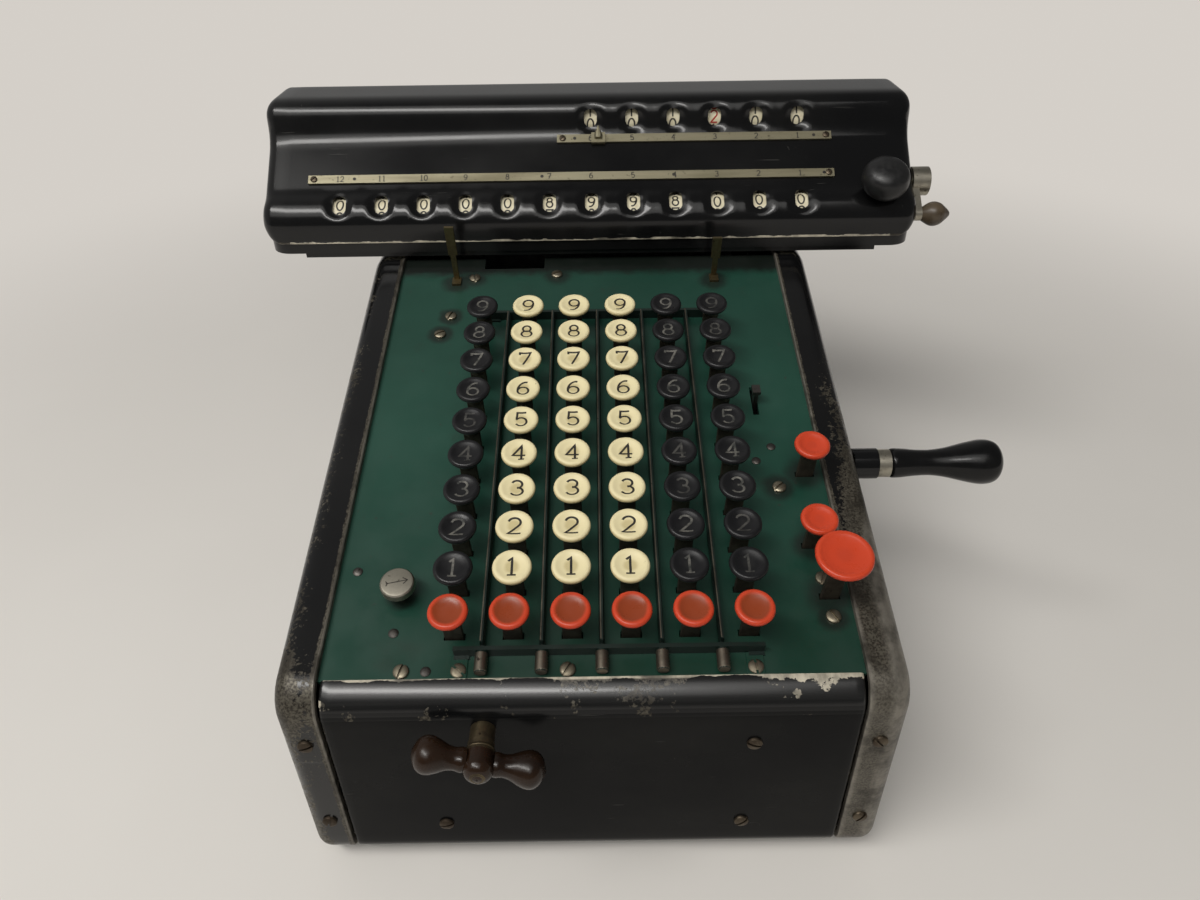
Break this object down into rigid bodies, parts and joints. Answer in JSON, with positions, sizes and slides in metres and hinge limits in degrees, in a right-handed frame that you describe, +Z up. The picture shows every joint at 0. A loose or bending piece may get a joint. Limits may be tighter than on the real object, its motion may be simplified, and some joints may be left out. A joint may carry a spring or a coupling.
{
  "type": "mechanical calculator",
  "caption": "Hand-cranked full-keyboard mechanical calculator with a sloped key plate, a sliding dial carriage, a side crank and a front shift handle.",
  "frame": {"origin": "on the table, under the middle of the outline at rest", "axes": "+X to the operator's right along the carriage, +Y from the operator to the back, +Z up"},
  "size_m": [0.3146, 0.3006, 0.2069],
  "materials": {
    "black_enamel": "glossy japanned black, worn to bare metal at edges",
    "green_enamel": "satin dark green",
    "rubber_black": "matte",
    "steel": "plain steel",
    "dark_steel": "blackened steel with wear",
    "brass": "tarnished brass",
    "black_key": "glossy black",
    "ivory_key": "glossy ivory",
    "red_key": "glossy red",
    "nickel": "dull nickel plate",
    "black_gloss": "polished black",
    "brown_wood": "polished dark brown",
    "dial_white": "off-white dials with dark numerals"
  },
  "bodies": {
    "case": {"base_plate": "black_enamel", "left_side_panel": "black_enamel", "right_side_panel": "black_enamel", "front_cover": "black_enamel", "keyboard_plate": "green_enamel", "rear_cover": "black_enamel", "rubber_feet": "rubber_black", "inner_frame": "steel", "carriage_rails": "steel", "marker_bars": "dark_steel", "column_pointers": "brass", "case_screws": "brass"},
    "digit_row_1": {"black_keys_1": "black_key", "ivory_keys_1": "ivory_key"},
    "digit_row_2": {"black_keys_2": "black_key", "ivory_keys_2": "ivory_key"},
    "digit_row_3": {"black_keys_3": "black_key", "ivory_keys_3": "ivory_key"},
    "digit_row_4": {"black_keys_4": "black_key", "ivory_keys_4": "ivory_key"},
    "digit_row_5": {"black_keys_5": "black_key", "ivory_keys_5": "ivory_key"},
    "digit_row_6": {"black_keys_6": "black_key", "ivory_keys_6": "ivory_key"},
    "digit_row_7": {"black_keys_7": "black_key", "ivory_keys_7": "ivory_key"},
    "digit_row_8": {"black_keys_8": "black_key", "ivory_keys_8": "ivory_key"},
    "digit_row_9": {"black_keys_9": "black_key", "ivory_keys_9": "ivory_key"},
    "column_clear": {"column_clear_keys": "red_key"},
    "non_repeat": {"non_repeat_key": "red_key"},
    "repeat": {"repeat_key": "red_key"},
    "clear": {"clear_key": "red_key"},
    "item_count": {"item_count_knob": "nickel"},
    "marker_1": {"decimal_marker_1": "nickel"},
    "marker_2": {"decimal_marker_2": "nickel"},
    "marker_3": {"decimal_marker_3": "nickel"},
    "marker_4": {"decimal_marker_4": "nickel"},
    "marker_5": {"decimal_marker_5": "nickel"},
    "index": {"index_lever": "dark_steel"},
    "crank": {"crank_arm": "dark_steel", "crank_ferrule": "nickel", "crank_shaft": "steel"},
    "grip": {"crank_grip": "black_gloss"},
    "drums": {"drum_shaft": "steel", "actuator_drums": "brass"},
    "carriage": {"carriage_frame": "dark_steel", "carriage_cover": "black_enamel", "dial_scales": "nickel", "carriage_knob": "black_gloss", "dial_shafts": "steel"},
    "shift_handle": {"shift_shaft": "dark_steel", "shift_knobs": "brown_wood"},
    "idler": {"shift_idler": "brass"},
    "slider": {"scale_slider": "brass"},
    "lower_dial_set": {"lower_dials": "dial_white"},
    "upper_dial_set": {"upper_dials": "dial_white"},
    "clearing": {"clearing_crank": "nickel", "clearing_knob": "brown_wood"}
  },
  "joints": [
    {"name": "press_row_1", "type": "slide", "parent": "case", "child": "digit_row_1", "axis": [0, 0.2588, -0.9659], "range_m": [0, 0.004], "stiffness_N_per_m": 400, "springref_m": -0.004},
    {"name": "press_row_2", "type": "slide", "parent": "case", "child": "digit_row_2", "axis": [0, 0.2588, -0.9659], "range_m": [0, 0.004], "stiffness_N_per_m": 400, "springref_m": -0.004},
    {"name": "press_row_3", "type": "slide", "parent": "case", "child": "digit_row_3", "axis": [0, 0.2588, -0.9659], "range_m": [0, 0.004], "stiffness_N_per_m": 400, "springref_m": -0.004},
    {"name": "press_row_4", "type": "slide", "parent": "case", "child": "digit_row_4", "axis": [0, 0.2588, -0.9659], "range_m": [0, 0.004], "stiffness_N_per_m": 400, "springref_m": -0.004},
    {"name": "press_row_5", "type": "slide", "parent": "case", "child": "digit_row_5", "axis": [0, 0.2588, -0.9659], "range_m": [0, 0.004], "stiffness_N_per_m": 400, "springref_m": -0.004},
    {"name": "press_row_6", "type": "slide", "parent": "case", "child": "digit_row_6", "axis": [0, 0.2588, -0.9659], "range_m": [0, 0.004], "stiffness_N_per_m": 400, "springref_m": -0.004},
    {"name": "press_row_7", "type": "slide", "parent": "case", "child": "digit_row_7", "axis": [0, 0.2588, -0.9659], "range_m": [0, 0.004], "stiffness_N_per_m": 400, "springref_m": -0.004},
    {"name": "press_row_8", "type": "slide", "parent": "case", "child": "digit_row_8", "axis": [0, 0.2588, -0.9659], "range_m": [0, 0.004], "stiffness_N_per_m": 400, "springref_m": -0.004},
    {"name": "press_row_9", "type": "slide", "parent": "case", "child": "digit_row_9", "axis": [0, 0.2588, -0.9659], "range_m": [0, 0.004], "stiffness_N_per_m": 400, "springref_m": -0.004},
    {"name": "press_column_clear", "type": "slide", "parent": "case", "child": "column_clear", "axis": [0, 0.2588, -0.9659], "range_m": [0, 0.003], "stiffness_N_per_m": 400, "springref_m": -0.004},
    {"name": "press_non_repeat", "type": "slide", "parent": "case", "child": "non_repeat", "axis": [0, 0.2588, -0.9659], "range_m": [0, 0.003]},
    {"name": "press_repeat", "type": "slide", "parent": "case", "child": "repeat", "axis": [0, 0.2588, -0.9659], "range_m": [-0.003, 0]},
    {"name": "press_clear", "type": "slide", "parent": "case", "child": "clear", "axis": [0, 0.2588, -0.9659], "range_m": [0, 0.004], "stiffness_N_per_m": 300, "springref_m": -0.004},
    {"name": "turn_item_count", "type": "hinge", "parent": "case", "child": "item_count", "pos_m": [-0.0724, -0.09458, 0.09589], "axis": [0, -0.2588, 0.9659], "range_deg": [0, 90]},
    {"name": "turn_marker_1", "type": "hinge", "parent": "case", "child": "marker_1", "pos_m": [-0.0436, -0.0363, 0.1141], "axis": [0, 0.9659, 0.2588], "range_deg": [-90, 90]},
    {"name": "turn_marker_2", "type": "hinge", "parent": "case", "child": "marker_2", "pos_m": [-0.02455, -0.0363, 0.1141], "axis": [0, 0.9659, 0.2588], "range_deg": [-90, 90]},
    {"name": "turn_marker_3", "type": "hinge", "parent": "case", "child": "marker_3", "pos_m": [-0.0055, -0.0363, 0.1141], "axis": [0, 0.9659, 0.2588], "range_deg": [-90, 90]},
    {"name": "turn_marker_4", "type": "hinge", "parent": "case", "child": "marker_4", "pos_m": [0.01355, -0.0363, 0.1141], "axis": [0, 0.9659, 0.2588], "range_deg": [-90, 90]},
    {"name": "turn_marker_5", "type": "hinge", "parent": "case", "child": "marker_5", "pos_m": [0.0326, -0.0363, 0.1141], "axis": [0, 0.9659, 0.2588], "range_deg": [-90, 90]},
    {"name": "move_index", "type": "slide", "parent": "case", "child": "index", "axis": [0, 0.9659, 0.2588], "range_m": [-0.005, 0.005]},
    {"name": "turn_crank", "type": "hinge", "parent": "case", "child": "crank", "pos_m": [0.0913, 0.00975, 0.065], "axis": [1, 0, 0], "continuous": true},
    {"name": "turn_grip", "type": "hinge", "parent": "crank", "child": "grip", "pos_m": [0.1213, -0.03038, 0.10113], "axis": [1, 0, 0], "continuous": true},
    {"name": "turn_drums", "type": "hinge", "parent": "case", "child": "drums", "pos_m": [-0.0087, 0.00975, 0.038], "axis": [1, 0, 0], "continuous": true},
    {"name": "shift_carriage", "type": "slide", "parent": "case", "child": "carriage", "axis": [1, 0, 0], "range_m": [-0.0381, 0.05715]},
    {"name": "turn_shift_handle", "type": "hinge", "parent": "case", "child": "shift_handle", "pos_m": [-0.0432, -0.13225, 0.0745], "axis": [0, -1, 0], "range_deg": [-361, 541]},
    {"name": "turn_idler", "type": "hinge", "parent": "case", "child": "idler", "pos_m": [-0.0432, 0.11475, 0.11442], "axis": [0, 1, 0], "range_deg": [-66, 98]},
    {"name": "move_slider", "type": "slide", "parent": "carriage", "child": "slider", "axis": [1, 0, 0], "range_m": [-0.014, 0.09]},
    {"name": "turn_lower_dials", "type": "hinge", "parent": "carriage", "child": "lower_dial_set", "pos_m": [-0.0087, 0.08775, 0.15942], "axis": [1, 0, 0], "continuous": true},
    {"name": "turn_upper_dials", "type": "hinge", "parent": "carriage", "child": "upper_dial_set", "pos_m": [-0.0087, 0.12025, 0.19442], "axis": [1, 0, 0], "continuous": true},
    {"name": "turn_clearing", "type": "hinge", "parent": "carriage", "child": "clearing", "pos_m": [0.1408, 0.09775, 0.17042], "axis": [1, 0, 0], "continuous": true}
  ],
  "couplings": [
    {"joint": "turn_drums", "follows": "turn_crank", "ratio": -1},
    {"joint": "press_repeat", "follows": "press_non_repeat", "ratio": -1},
    {"joint": "turn_shift_handle", "follows": "shift_carriage", "rad_per_m": 164.91},
    {"joint": "turn_idler", "follows": "shift_carriage", "rad_per_m": 29.537}
  ]
}
